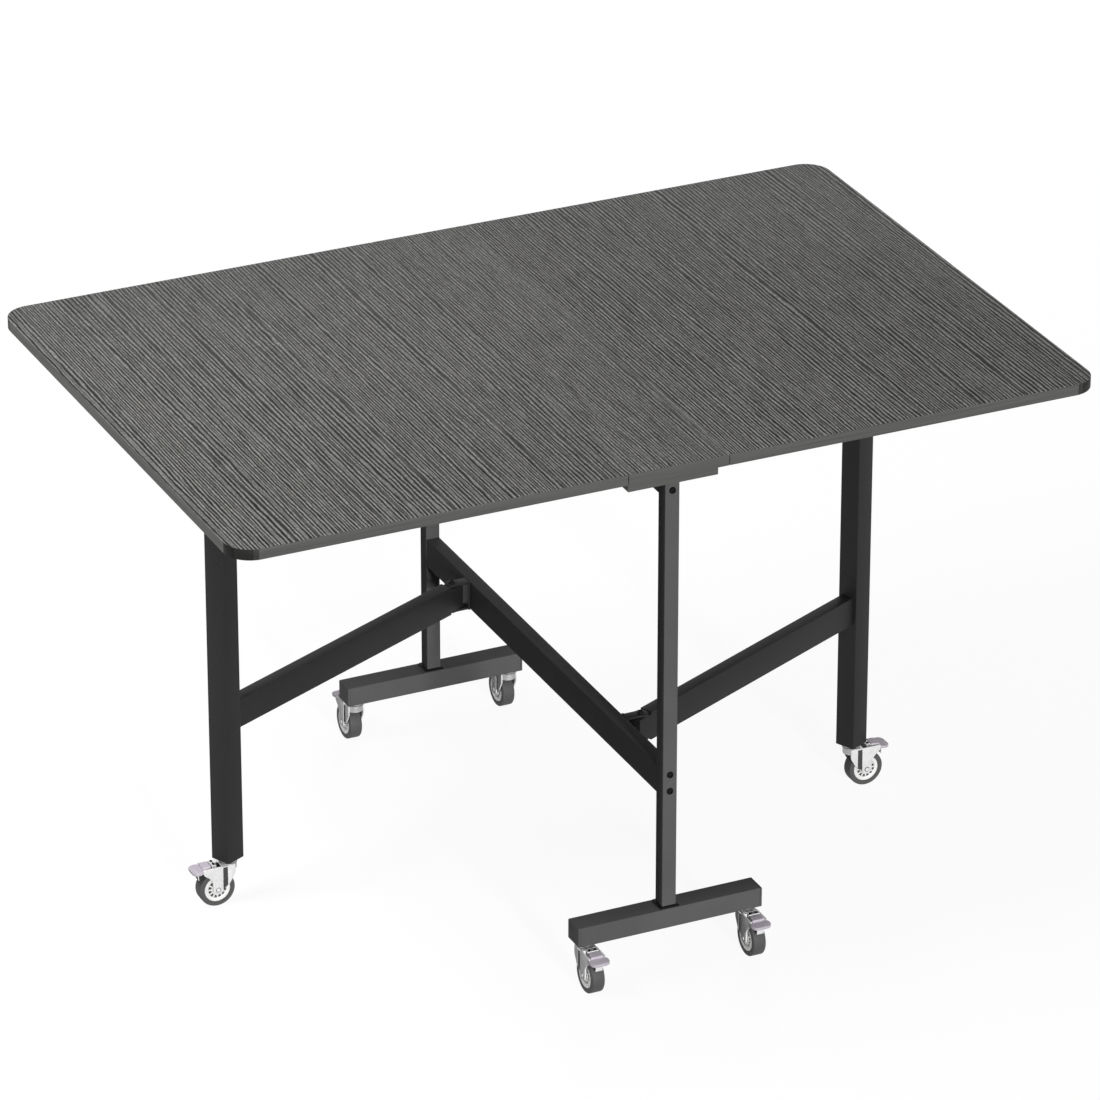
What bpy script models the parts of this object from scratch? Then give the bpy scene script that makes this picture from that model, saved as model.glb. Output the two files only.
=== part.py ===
"""Drop-leaf table with two swing-out gate legs, on six braked swivel casters.

Metres, +Z up. The origin is on the floor under the middle of the top, +X runs along the long side and +Y
to the rear. The table looks the same turned half round: what is at the left rear is also at the right front.
"""

import math

import bmesh
import bpy
from mathutils import Matrix, Vector

# Overall
TABLE_LENGTH = 1.200
TABLE_DEPTH = 0.800
TABLE_HEIGHT = 0.730

# Clearances
GAP = 0.0003
LEG_CLEARANCE = 0.0006
CUT_OVER = 0.005

# Boards of the top
BOARD_THICKNESS = 0.015
CORNER_RADIUS = 0.036
CORNER_STEPS = 10
CENTRE_WIDTH = 0.138
SEAM_GAP = 0.002
BATTEN_INSET = 0.0065
BATTEN_THICKNESS = 0.018
BATTEN_SETBACK = 0.017

# Steel tubes of the centre frame
TUBE_WALL = 0.0015
TUBE_ROUND = 0.0025
TUBE_ROUND_STEPS = 2
END_PLATE = 0.003
POST_SIZE = 0.020
POST_SETBACK = 0.019
RAIL_SIZE = 0.020
STRETCHER_WIDTH = 0.019
STRETCHER_HEIGHT = 0.041
STRETCHER_CENTRE_Z = 0.272
FOOT_LENGTH = 0.263
FOOT_DEPTH = 0.032
FOOT_HEIGHT = 0.0275
CAP_THICKNESS = 0.0025
CAP_PLUG_DEPTH = 0.006
BOLT_HOLE_RADIUS = 0.0033
STRETCHER_BOLT_SPACING = 0.0235

# Gate legs
LEG_SIZE = 0.030
ARM_REACH = 0.457
OPEN_ANGLE = math.radians(64.6)
PIVOT_STANDOFF = 0.0235
PIVOT_INSET = 0.136
PIVOT_RADIUS = 0.003
PIVOT_HEAD_OVERHANG = 0.002
PIVOT_HEAD_HEIGHT = 0.004
PIVOT_NUT_HEIGHT = 0.005
BRACKET_THICKNESS = 0.003
BRACKET_EYE_RADIUS = 0.0095
BRACKET_NECK_STEP = 0.0025
EYE_STEPS = 10
ARM_TAIL = 0.0127
ARM_NOTCH_GAP = 0.002
ARM_PLUG_END = 0.035
REST_LENGTH = 0.090
REST_SIDE = 0.010
REST_LIP_WIDTH = 0.012
REST_LIP_DEPTH = 0.012

# Leaf hinges, one long one under each seam
HINGE_LENGTH = 0.700
HINGE_BARRELS = 7
HINGE_PLATE = 0.0015
HINGE_BARREL_RADIUS = 0.0032
HINGE_BARREL_SINK = 0.0002
HINGE_PIN_RADIUS = 0.0016
HINGE_FIXED_DROP = 0.0125
HINGE_MOVING_WIDTH = 0.034

# Casters
WHEEL_RADIUS = 0.025
TYRE_WIDTH = 0.018
TYRE_DEPTH = 0.008
TYRE_CHAMFER = 0.002
RIM_RING = 0.0035
RIM_RING_INSET = 0.0007
HUB_RADIUS = 0.008
HUB_CLEARANCE = 0.0007
RIM_WEB = 0.005
AXLE_RADIUS = 0.003
AXLE_HEAD_OVERHANG = 0.0008
AXLE_HEAD_HEIGHT = 0.0012
WHEEL_STEPS = 20
TRAIL = 0.019
FORK_SIDE_GAP = 0.001
FORK_PLATE = 0.002
CROWN_GAP = 0.0063
RACE_HEIGHT = 0.006
RACE_RADIUS = 0.013
NECK_RADIUS = 0.005
RIVET_RADIUS = 0.008
RIVET_HEIGHT = 0.0024
STEM_RADIUS = 0.005
STEM_LENGTH = 0.016
STEM_STEPS = 12
FORK_FRONT = 0.013
FORK_ROOF_REAR = 0.013
FORK_LIP = 0.0006
CHEEK_FRONT = 0.004
CHEEK_SHOULDER = 0.003
CHEEK_BOSS = 0.0075
CHEEK_BOSS_FROM = 200
CHEEK_BOSS_TO = 345
CHEEK_BOSS_STEPS = 6
CHEEK_WAIST = 0.0085
CHEEK_WAIST_RISE = 0.0135
CHEEK_BELLY = 0.011
CHEEK_BELLY_RISE = 0.0185
CHEEK_TAIL = 0.0055
STEM_CAP_CLEARANCE = 0.0025

# Brake pedals
PEDAL_REACH = 0.015
PEDAL_RISE = 0.0045
PEDAL_BACK = 0.007
PEDAL_STEP = 0.007
PEDAL_TIP = 0.0195
PEDAL_CORNER = 0.0055
PEDAL_SIDE_GAP = 0.0004
PEDAL_FLARE = 0.0045
PEDAL_ABOVE = 0.0025
PEDAL_BELOW = 0.0024
PEDAL_PIN_RADIUS = 0.002
PEDAL_SLOPE = math.radians(4.3)
TONGUE_FROM = 0.0145
TONGUE_THICKNESS = 0.0015
TONGUE_HALF_WIDTH = 0.0045
TONGUE_DEPTH = 0.0075

# Facets of round pins and holes, and the angle that stays a sharp edge on them
PIN_STEPS = 12
HOLE_STEPS = 8
SHARP_ANGLE = math.radians(35)

# Heights and places that follow from the sizes above
BOARD_UNDERSIDE = TABLE_HEIGHT - BOARD_THICKNESS
BATTEN_TOP = BOARD_UNDERSIDE - GAP
BATTEN_BOTTOM = BATTEN_TOP - BATTEN_THICKNESS
BATTEN_HALF = CENTRE_WIDTH / 2 - BATTEN_INSET
LEG_TOP = BATTEN_BOTTOM - LEG_CLEARANCE
RAIL_TOP = BATTEN_BOTTOM - GAP
RAIL_CENTRE_Z = RAIL_TOP - RAIL_SIZE / 2
FORK_UNDER = 2 * WHEEL_RADIUS + CROWN_GAP
FORK_TOP = FORK_UNDER + FORK_PLATE
SEAT_Z = FORK_TOP + RACE_HEIGHT
FOOT_TOP = SEAT_Z + FOOT_HEIGHT
POST_Y = TABLE_DEPTH / 2 - POST_SETBACK - POST_SIZE / 2
POST_INNER_Y = POST_Y - POST_SIZE / 2
CASTER_X = FOOT_LENGTH / 2 - CAP_THICKNESS - CAP_PLUG_DEPTH - STEM_CAP_CLEARANCE - STEM_RADIUS
STRETCHER_TOP = STRETCHER_CENTRE_Z + STRETCHER_HEIGHT / 2
STRETCHER_BOTTOM = STRETCHER_CENTRE_Z - STRETCHER_HEIGHT / 2
PIVOT_X = STRETCHER_WIDTH / 2 + PIVOT_STANDOFF
PIVOT_Y = POST_INNER_Y - PIVOT_INSET
HINGE_X = BATTEN_HALF + GAP + HINGE_BARREL_SINK + HINGE_BARREL_RADIUS
HINGE_Z = BATTEN_TOP - HINGE_BARREL_SINK - HINGE_BARREL_RADIUS
FORK_INNER = TYRE_WIDTH / 2 + FORK_SIDE_GAP
FORK_OUTER = FORK_INNER + FORK_PLATE
PEDAL_X = TRAIL + PEDAL_REACH
PEDAL_Z = 2 * WHEEL_RADIUS + PEDAL_RISE

# Turns that lay an outline drawn in X and Y on its side, with its depth along the named axis
ALONG_X = Matrix(((0, 0, 1, 0), (1, 0, 0, 0), (0, 1, 0, 0), (0, 0, 0, 1)))
ALONG_Y = Matrix(((1, 0, 0, 0), (0, 0, -1, 0), (0, 1, 0, 0), (0, 0, 0, 1)))
HALF_TURN = Matrix.Rotation(math.pi, 4, "Z")


def clear_scene():
    for item in list(bpy.data.objects):
        bpy.data.objects.remove(item, do_unlink=True)


def as_mesh(form):
    bmesh.ops.recalc_face_normals(form, faces=form.faces)
    mesh = bpy.data.meshes.new("form")
    form.to_mesh(mesh)
    form.free()
    return mesh


def prism(outline, low, high):
    """A solid with the given outline in X and Y, from height low to height high."""
    form = bmesh.new()
    base = form.faces.new([form.verts.new((x, y, low)) for x, y in outline])
    raised = bmesh.ops.extrude_face_region(form, geom=[base])
    top = [item for item in raised["geom"] if isinstance(item, bmesh.types.BMVert)]
    bmesh.ops.translate(form, verts=top, vec=(0, 0, high - low))
    return as_mesh(form)


def turned(profile, steps, closed=False):
    """A solid turned about Z from points of radius and height; a closed profile keeps clear of the axis."""
    form = bmesh.new()
    points = [form.verts.new((radius, 0, height)) for radius, height in profile]
    links = [form.edges.new(pair) for pair in zip(points, points[1:])]
    if closed:
        links.append(form.edges.new((points[-1], points[0])))
    bmesh.ops.spin(
        form,
        geom=points + links,
        cent=(0, 0, 0),
        axis=(0, 0, 1),
        angle=2 * math.pi,
        steps=steps,
        use_merge=True,
    )
    bmesh.ops.remove_doubles(form, verts=form.verts, dist=1e-6)
    return as_mesh(form)


def rod(radius, low, high, steps=PIN_STEPS):
    return turned([(0, low), (radius, low), (radius, high), (0, high)], steps)


def moved(mesh, *turns):
    """The mesh after each turn or shift, in the order given."""
    for turn in turns:
        mesh.transform(turn)
    return mesh


def shift(x=0.0, y=0.0, z=0.0):
    return Matrix.Translation((x, y, z))


def combined(base, tool, operation):
    """One mesh made from two by a Boolean, which uses both up."""
    holder = bpy.data.objects.new("holder", base)
    helper = bpy.data.objects.new("helper", tool)
    for item in (holder, helper):
        bpy.context.scene.collection.objects.link(item)
    step = holder.modifiers.new("step", "BOOLEAN")
    step.operation = operation
    step.solver = "EXACT"
    step.object = helper
    bpy.context.view_layer.update()
    graph = bpy.context.evaluated_depsgraph_get()
    result = bpy.data.meshes.new_from_object(holder.evaluated_get(graph))
    for item in (holder, helper):
        bpy.data.objects.remove(item)
    for used in (base, tool):
        bpy.data.meshes.remove(used)
    return result


def cut(mesh, *tools):
    for tool in tools:
        mesh = combined(mesh, tool, "DIFFERENCE")
    return mesh


def fused(mesh, *tools):
    for tool in tools:
        mesh = combined(mesh, tool, "UNION")
    return mesh


def rectangle(width, depth):
    x, y = width / 2, depth / 2
    return [(-x, -y), (x, -y), (x, y), (-x, y)]


def arc(centre_x, centre_y, radius, start, end, steps):
    """Points on an arc, with the angles in degrees."""
    angles = [math.radians(start + (end - start) * step / steps) for step in range(steps + 1)]
    return [(centre_x + radius * math.cos(a), centre_y + radius * math.sin(a)) for a in angles]


def rounded_rectangle(width, depth, radius, steps):
    x, y = width / 2 - radius, depth / 2 - radius
    outline = arc(-x, -y, radius, 180, 270, steps)
    outline += arc(x, -y, radius, 270, 360, steps)
    outline += arc(x, y, radius, 0, 90, steps)
    outline += arc(-x, y, radius, 90, 180, steps)
    return outline


def tube(width, depth, low, high, end=0.0):
    """A square tube along Z, open at both ends, or closed there by plates of the given thickness."""
    body = prism(rounded_rectangle(width, depth, TUBE_ROUND, TUBE_ROUND_STEPS), low, high)
    inside_width, inside_depth = width - 2 * TUBE_WALL, depth - 2 * TUBE_WALL
    inside = rectangle(inside_width, inside_depth)
    if TUBE_ROUND > TUBE_WALL:
        inside = rounded_rectangle(inside_width, inside_depth, TUBE_ROUND - TUBE_WALL, TUBE_ROUND_STEPS)
    if end > 0:
        return cut(body, prism(inside, low + end, high - end))
    return cut(body, prism(inside, low - CUT_OVER, high + CUT_OVER))


def finish(name, colour, roughness, metallic=0.0):
    material = bpy.data.materials.new(name)
    material.use_nodes = True
    shader = material.node_tree.nodes["Principled BSDF"]
    shader.inputs["Base Color"].default_value = (*colour, 1.0)
    shader.inputs["Roughness"].default_value = roughness
    shader.inputs["Metallic"].default_value = metallic
    material.diffuse_color = (*colour, 1.0)
    return material


def add_axis(name, place, parent=None):
    """An empty on a joint's axis; its place is given in the world, also under a parent."""
    axis = bpy.data.objects.new(name, None)
    bpy.context.scene.collection.objects.link(axis)
    axis.parent = parent
    axis.matrix_basis = place
    if parent:
        axis.matrix_parent_inverse = parent.matrix_world.inverted()
    bpy.context.view_layer.update()
    return axis


def add_piece(name, mesh, material, place=None, parent=None, smooth=False):
    """A named piece; its place is given in its parent's frame."""
    mesh.name = name
    if smooth:
        mesh.shade_smooth()
        mesh.set_sharp_from_angle(angle=SHARP_ANGLE)
    mesh.materials.clear()
    mesh.materials.append(material)
    piece = bpy.data.objects.new(name, mesh)
    bpy.context.scene.collection.objects.link(piece)
    piece.parent = parent
    piece.matrix_basis = place or Matrix.Identity(4)
    return piece


# Top


def leaf_mesh():
    """The right leaf, in world place."""
    inner = CENTRE_WIDTH / 2 + SEAM_GAP
    outer = TABLE_LENGTH / 2
    half = TABLE_DEPTH / 2
    outline = [(inner, -half)]
    outline += arc(outer - CORNER_RADIUS, -half + CORNER_RADIUS, CORNER_RADIUS, 270, 360, CORNER_STEPS)
    outline += arc(outer - CORNER_RADIUS, half - CORNER_RADIUS, CORNER_RADIUS, 0, 90, CORNER_STEPS)
    outline.append((inner, half))
    return prism(outline, BOARD_UNDERSIDE, TABLE_HEIGHT)


def add_top(finishes):
    panel = prism(rectangle(CENTRE_WIDTH, TABLE_DEPTH), BOARD_UNDERSIDE, TABLE_HEIGHT)
    add_piece("centre_panel", panel, finishes["board"])
    batten = prism(rectangle(2 * BATTEN_HALF, TABLE_DEPTH - 2 * BATTEN_SETBACK), BATTEN_BOTTOM, BATTEN_TOP)
    add_piece("centre_batten", batten, finishes["board"])


# Centre frame


def bolt_heights():
    half = STRETCHER_BOLT_SPACING / 2
    return [RAIL_CENTRE_Z, STRETCHER_CENTRE_Z + half, STRETCHER_CENTRE_Z - half]


def post_mesh():
    """A post about its own axis, drilled along Y for its bolts."""
    post = tube(POST_SIZE, POST_SIZE, FOOT_TOP + GAP, RAIL_TOP)
    for height in bolt_heights():
        hole = rod(BOLT_HOLE_RADIUS, -POST_SIZE, POST_SIZE, HOLE_STEPS)
        post = cut(post, moved(hole, ALONG_Y, shift(z=height)))
    return post


def cross_tube(width, height, hole_heights):
    """A tube along Y between the posts, with drilled plates in its ends."""
    half = POST_INNER_Y - GAP
    body = moved(tube(width, height, -half, half, END_PLATE), ALONG_Y)
    for end in (-half, half):
        for z in hole_heights:
            hole = rod(BOLT_HOLE_RADIUS, -END_PLATE - CUT_OVER, END_PLATE + CUT_OVER, HOLE_STEPS)
            body = cut(body, moved(hole, ALONG_Y, shift(y=end, z=z)))
    return body


def foot_mesh():
    """A foot tube along X, centred on its own middle, with holes below for the caster stems."""
    half = FOOT_LENGTH / 2 - CAP_THICKNESS - GAP
    body = moved(tube(FOOT_DEPTH, FOOT_HEIGHT, -half, half), ALONG_X)
    for x in (-CASTER_X, CASTER_X):
        hole = rod(STEM_RADIUS + GAP, -FOOT_HEIGHT / 2 - CUT_OVER, 0)
        body = cut(body, moved(hole, shift(x=x)))
    return body


def cap_mesh():
    """An end cap for a foot, with its outer face at zero and its plug along +Z."""
    plate = prism(rounded_rectangle(FOOT_DEPTH, FOOT_HEIGHT, TUBE_ROUND, TUBE_ROUND_STEPS), 0, CAP_THICKNESS)
    form = bmesh.new()
    form.from_mesh(plate)
    bpy.data.meshes.remove(plate)
    inner = max(form.faces, key=lambda face: face.calc_center_median().z)
    bmesh.ops.inset_individual(form, faces=[inner], thickness=TUBE_WALL + GAP)
    raised = bmesh.ops.extrude_discrete_faces(form, faces=[inner])
    bmesh.ops.translate(form, verts=raised["faces"][0].verts, vec=(0, 0, CAP_PLUG_DEPTH))
    return as_mesh(form)


def add_frame(finishes):
    steel = finishes["steel"]
    add_piece("top_rail", cross_tube(RAIL_SIZE, RAIL_SIZE, [0]), steel, shift(z=RAIL_CENTRE_Z))
    half = STRETCHER_BOLT_SPACING / 2
    stretcher = cross_tube(STRETCHER_WIDTH, STRETCHER_HEIGHT, [half, -half])
    add_piece("stretcher", stretcher, steel, shift(z=STRETCHER_CENTRE_Z))
    for row, turn, ends in (
        ("front", Matrix.Identity(4), ("left", "right")),
        ("rear", HALF_TURN, ("right", "left")),
    ):
        add_piece(f"{row}_post", post_mesh(), steel, turn @ shift(y=-POST_Y))
        foot_place = turn @ shift(y=-POST_Y, z=SEAT_Z + FOOT_HEIGHT / 2)
        add_piece(f"{row}_foot", foot_mesh(), steel, foot_place)
        for end, end_turn in zip(ends, (Matrix.Identity(4), HALF_TURN)):
            cap_place = foot_place @ end_turn @ shift(x=-FOOT_LENGTH / 2)
            add_piece(f"{row}_foot_{end}_cap", moved(cap_mesh(), ALONG_X), finishes["cap"], cap_place)


# Leaf hinges


def barrel_spans(moving):
    """Ends along Y of the barrels on one plate: the moving plate has the first, the third and so on."""
    length = HINGE_LENGTH / HINGE_BARRELS
    starts = [-HINGE_LENGTH / 2 + length * number for number in range(0 if moving else 1, HINGE_BARRELS, 2)]
    return [(start + GAP / 2, start + length - GAP / 2) for start in starts]


def comb(root, edge, spans):
    """A plate's outline, with its length in the second value, that reaches to the edge only along the spans."""
    outline = []
    for low, high in spans:
        outline += [(root, low), (edge, low), (edge, high), (root, high)]
    return outline


def barrel(low, high):
    return moved(rod(HINGE_BARREL_RADIUS, -high, -low, HOLE_STEPS), ALONG_Y, shift(x=HINGE_X, z=HINGE_Z))


def pin_rod(radius, over):
    half = HINGE_LENGTH / 2 + over
    return moved(rod(radius, -half, half, HOLE_STEPS), ALONG_Y, shift(x=HINGE_X, z=HINGE_Z))


def with_barrels(plate, spans):
    for low, high in spans:
        plate = fused(plate, barrel(low, high))
    return cut(plate, pin_rod(HINGE_PIN_RADIUS + GAP, CUT_OVER))


def fixed_hinge_plate():
    """The plate on the batten's right side."""
    spans = barrel_spans(moving=False)
    half = HINGE_LENGTH / 2
    low = HINGE_Z - HINGE_FIXED_DROP
    step = HINGE_Z - HINGE_BARREL_RADIUS - GAP
    outline = [(low, -half), (step, -half)] + comb(step, HINGE_Z, spans) + [(step, half), (low, half)]
    face = BATTEN_HALF + GAP
    plate = moved(prism([(y, z) for z, y in outline], face, face + HINGE_PLATE), ALONG_X)
    return with_barrels(plate, spans)


def moving_hinge_plate():
    """The plate under the right leaf."""
    spans = barrel_spans(moving=True)
    outer = HINGE_X + HINGE_MOVING_WIDTH
    notch = HINGE_X + HINGE_BARREL_RADIUS + 2 * GAP
    outline = comb(notch, HINGE_X, spans) + [(outer, spans[-1][1]), (outer, spans[0][0])]
    top = BOARD_UNDERSIDE - GAP
    return with_barrels(prism(outline, top - HINGE_PLATE, top), spans)


def add_leaves(finishes, gate_places):
    for side, turn in (("right", Matrix.Identity(4)), ("left", HALF_TURN)):
        axis = add_axis(f"{side}_leaf_axis", turn @ shift(x=HINGE_X, z=HINGE_Z))
        to_axis = shift(x=-HINGE_X, z=-HINGE_Z)
        add_piece(f"{side}_leaf", leaf_mesh(), finishes["board"], to_axis, axis)
        add_piece(f"{side}_leaf_hinge", moving_hinge_plate(), finishes["zinc"], to_axis, axis)
        rest_place = axis.matrix_world.inverted() @ gate_places[side]
        add_piece(f"{side}_leaf_rest", leaf_rest_mesh(), finishes["board"], rest_place, axis)
        add_piece(f"{side}_batten_hinge", fixed_hinge_plate(), finishes["zinc"], turn)
        add_piece(f"{side}_hinge_pin", pin_rod(HINGE_PIN_RADIUS, GAP), finishes["zinc"], turn, smooth=True)


# Gates. Each is drawn with its pivot at the origin and its leg along +X; it folds towards +Y.


def leaf_rest_mesh():
    """The block under a leaf that sits on the open leg, with a lip that stops the leg, in the gate's frame."""
    near = -LEG_SIZE / 2 - LEG_CLEARANCE
    far = near - REST_LIP_WIDTH
    side = LEG_SIZE / 2 + REST_SIDE
    top = BOARD_UNDERSIDE - GAP
    lip = BATTEN_BOTTOM - REST_LIP_DEPTH
    outline = [(far, lip), (near, lip), (near, BATTEN_BOTTOM), (side, BATTEN_BOTTOM), (side, top), (far, top)]
    low = ARM_REACH - REST_LENGTH / 2
    return moved(prism(outline, low, low + REST_LENGTH), ALONG_X)


def gate_arm_mesh():
    """The arm tube, plugged where the pivot bolt goes through and notched for the bracket's tongues."""
    end = ARM_REACH - LEG_SIZE / 2 - GAP
    arm = tube(STRETCHER_WIDTH, STRETCHER_HEIGHT, -ARM_TAIL, end)
    plug_width, plug_height = STRETCHER_WIDTH - TUBE_WALL, STRETCHER_HEIGHT - TUBE_WALL
    plug = rounded_rectangle(plug_width, plug_height, TUBE_ROUND / 2, TUBE_ROUND_STEPS)
    arm = fused(arm, prism(plug, TUBE_WALL - ARM_TAIL, ARM_PLUG_END))
    moved(arm, ALONG_X, shift(z=STRETCHER_CENTRE_Z))
    near, far = -ARM_TAIL - CUT_OVER, BRACKET_EYE_RADIUS + ARM_NOTCH_GAP
    side = STRETCHER_WIDTH / 2 + CUT_OVER
    notch = [(near, -side), (far, -side), (far, side), (near, side)]
    low = STRETCHER_BOTTOM + BRACKET_THICKNESS + GAP
    high = STRETCHER_TOP - BRACKET_THICKNESS - GAP
    below = prism(notch, STRETCHER_BOTTOM - CUT_OVER, low)
    above = prism(notch, high, STRETCHER_TOP + CUT_OVER)
    return cut(arm, below, above, rod(PIVOT_RADIUS + GAP, low - CUT_OVER, high + CUT_OVER))


def gate_leg_mesh():
    leg = tube(LEG_SIZE, LEG_SIZE, SEAT_Z, LEG_TOP, END_PLATE)
    leg = cut(leg, rod(STEM_RADIUS + GAP, SEAT_Z - CUT_OVER, SEAT_Z + END_PLATE + CUT_OVER))
    return moved(leg, shift(x=ARM_REACH))


def bracket_mesh():
    """The left bracket about its pivot: a web on the stretcher's side with two tongues to the pivot bolt."""
    neck = BRACKET_EYE_RADIUS - BRACKET_NECK_STEP
    back = PIVOT_STANDOFF - GAP
    spread = math.degrees(math.asin(neck / BRACKET_EYE_RADIUS))
    outline = arc(0, 0, BRACKET_EYE_RADIUS, spread, 360 - spread, EYE_STEPS)
    outline += [(back, -neck), (back, neck)]
    bracket = prism(outline, STRETCHER_BOTTOM, STRETCHER_TOP)
    front = -BRACKET_EYE_RADIUS - CUT_OVER
    rear = back - BRACKET_THICKNESS
    room = [(front, front), (rear, front), (rear, -front), (front, -front)]
    low = STRETCHER_BOTTOM + BRACKET_THICKNESS
    high = STRETCHER_TOP - BRACKET_THICKNESS
    bore = rod(PIVOT_RADIUS + GAP, STRETCHER_BOTTOM - CUT_OVER, STRETCHER_TOP + CUT_OVER)
    return cut(bracket, prism(room, low, high), bore)


def pivot_bolt_mesh():
    low = STRETCHER_BOTTOM - GAP
    high = STRETCHER_TOP + GAP
    head = PIVOT_RADIUS + PIVOT_HEAD_OVERHANG
    crown = head - PIVOT_HEAD_HEIGHT / 2
    profile = [
        (0, low - PIVOT_NUT_HEIGHT),
        (head, low - PIVOT_NUT_HEIGHT),
        (head, low),
        (PIVOT_RADIUS, low),
        (PIVOT_RADIUS, high),
        (head, high),
        (head, high + PIVOT_HEAD_HEIGHT / 2),
        (crown, high + PIVOT_HEAD_HEIGHT),
        (0, high + PIVOT_HEAD_HEIGHT),
    ]
    return turned(profile, PIN_STEPS)


def gate_places_by_side():
    """Each gate's frame at rest: pivot in place, leg swung out by the open angle from the stretcher."""
    left = shift(x=-PIVOT_X, y=PIVOT_Y) @ Matrix.Rotation(-math.pi / 2 - OPEN_ANGLE, 4, "Z")
    return {"left": left, "right": HALF_TURN @ left}


def add_gates(finishes, gate_places):
    axes = {}
    for side, turn in (("left", Matrix.Identity(4)), ("right", HALF_TURN)):
        pivot = turn @ shift(x=-PIVOT_X, y=PIVOT_Y)
        add_piece(f"{side}_gate_bracket", bracket_mesh(), finishes["steel"], pivot)
        add_piece(f"{side}_pivot_bolt", pivot_bolt_mesh(), finishes["bolt"], pivot, smooth=True)
        axis = add_axis(f"{side}_gate_axis", gate_places[side])
        add_piece(f"{side}_gate_arm", gate_arm_mesh(), finishes["steel"], parent=axis)
        add_piece(f"{side}_gate_leg", gate_leg_mesh(), finishes["steel"], parent=axis)
        axes[side] = axis
    return axes


# Casters. Each is drawn with its swivel axis on Z and trails towards +X; its axle lies along Y.


def stem_mesh():
    """The stem that is riveted through the fork's roof, with the race that turns under the foot."""
    inside = (FORK_UNDER + FORK_TOP) / 2
    profile = [
        (0, FORK_UNDER - RIVET_HEIGHT),
        (RIVET_RADIUS, FORK_UNDER - RIVET_HEIGHT),
        (RIVET_RADIUS, inside),
        (NECK_RADIUS, inside),
        (NECK_RADIUS, FORK_TOP + GAP),
        (RACE_RADIUS, FORK_TOP + GAP),
        (RACE_RADIUS, SEAT_Z - GAP),
        (STEM_RADIUS, SEAT_Z - GAP),
        (STEM_RADIUS, SEAT_Z + STEM_LENGTH),
        (0, SEAT_Z + STEM_LENGTH),
    ]
    return turned(profile, STEM_STEPS)


def cheek_outline():
    """The fork seen from the side, in X and Z."""
    tail = PEDAL_X + CHEEK_TAIL
    shoulder = 2 * WHEEL_RADIUS - CHEEK_SHOULDER
    outline = [(-FORK_FRONT, FORK_TOP), (-FORK_FRONT, FORK_UNDER - GAP), (-CHEEK_FRONT, FORK_UNDER - GAP)]
    outline.append((-CHEEK_FRONT, shoulder))
    outline += arc(TRAIL, WHEEL_RADIUS, CHEEK_BOSS, CHEEK_BOSS_FROM, CHEEK_BOSS_TO, CHEEK_BOSS_STEPS)
    outline.append((TRAIL + CHEEK_WAIST, WHEEL_RADIUS + CHEEK_WAIST_RISE))
    outline.append((TRAIL + CHEEK_BELLY, WHEEL_RADIUS + CHEEK_BELLY_RISE))
    outline += [(tail, PEDAL_Z - PEDAL_BELOW), (tail, FORK_TOP)]
    return outline


def fork_mesh():
    """A pressed fork with its stem: a roof, two cheeks down to the axle, open above the tyre."""
    low = WHEEL_RADIUS - CHEEK_BOSS - CUT_OVER
    channel = [(-FORK_OUTER, low), (-FORK_INNER, low), (-FORK_INNER, FORK_UNDER), (FORK_INNER, FORK_UNDER)]
    channel += [(FORK_INNER, low), (FORK_OUTER, low), (FORK_OUTER, FORK_TOP + CUT_OVER)]
    channel.append((-FORK_OUTER, FORK_TOP + CUT_OVER))
    reach = PEDAL_X + CHEEK_TAIL + CUT_OVER
    fork = moved(prism(channel, -FORK_FRONT - CUT_OVER, reach), ALONG_X)
    cheeks = moved(prism(cheek_outline(), -FORK_OUTER - CUT_OVER, FORK_OUTER + CUT_OVER), ALONG_Y)
    fork = combined(fork, cheeks, "INTERSECT")
    half = FORK_INNER - FORK_LIP
    opening = [(FORK_ROOF_REAR, -half), (reach, -half), (reach, half), (FORK_ROOF_REAR, half)]
    across = FORK_OUTER + CUT_OVER
    axle_hole = moved(rod(AXLE_RADIUS + GAP, -across, across), ALONG_Y, shift(x=TRAIL, z=WHEEL_RADIUS))
    pedal_hole = rod(PEDAL_PIN_RADIUS + GAP, -across, across, HOLE_STEPS)
    moved(pedal_hole, ALONG_Y, shift(x=PEDAL_X, z=PEDAL_Z))
    fork = cut(fork, prism(opening, FORK_UNDER - CUT_OVER, FORK_TOP + CUT_OVER), axle_hole, pedal_hole)
    return fused(fork, stem_mesh())


def wheel_turn():
    """Lays a wheel turned about Z on its axle, with one flat of its faceted tread down."""
    return ALONG_Y @ Matrix.Rotation(math.pi / WHEEL_STEPS, 4, "Z")


def tyre_mesh():
    half = TYRE_WIDTH / 2
    tread = WHEEL_RADIUS / math.cos(math.pi / WHEEL_STEPS)
    bead = WHEEL_RADIUS - TYRE_DEPTH
    profile = [(bead, -half), (tread - TYRE_CHAMFER, -half), (tread, -half + TYRE_CHAMFER)]
    profile += [(tread, half - TYRE_CHAMFER), (tread - TYRE_CHAMFER, half), (bead, half)]
    return moved(turned(profile, WHEEL_STEPS, closed=True), wheel_turn())


def rim_mesh():
    outer = WHEEL_RADIUS - TYRE_DEPTH - GAP
    ring = outer - RIM_RING
    ring_half = TYRE_WIDTH / 2 - RIM_RING_INSET
    hub_half = FORK_INNER - HUB_CLEARANCE
    web_half = RIM_WEB / 2
    bore = AXLE_RADIUS + GAP
    lower = [(bore, -hub_half), (HUB_RADIUS, -hub_half), (HUB_RADIUS, -web_half), (ring, -web_half)]
    lower += [(ring, -ring_half), (outer, -ring_half)]
    upper = [(radius, -height) for radius, height in reversed(lower)]
    return moved(turned(lower + upper, WHEEL_STEPS, closed=True), wheel_turn())


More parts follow.
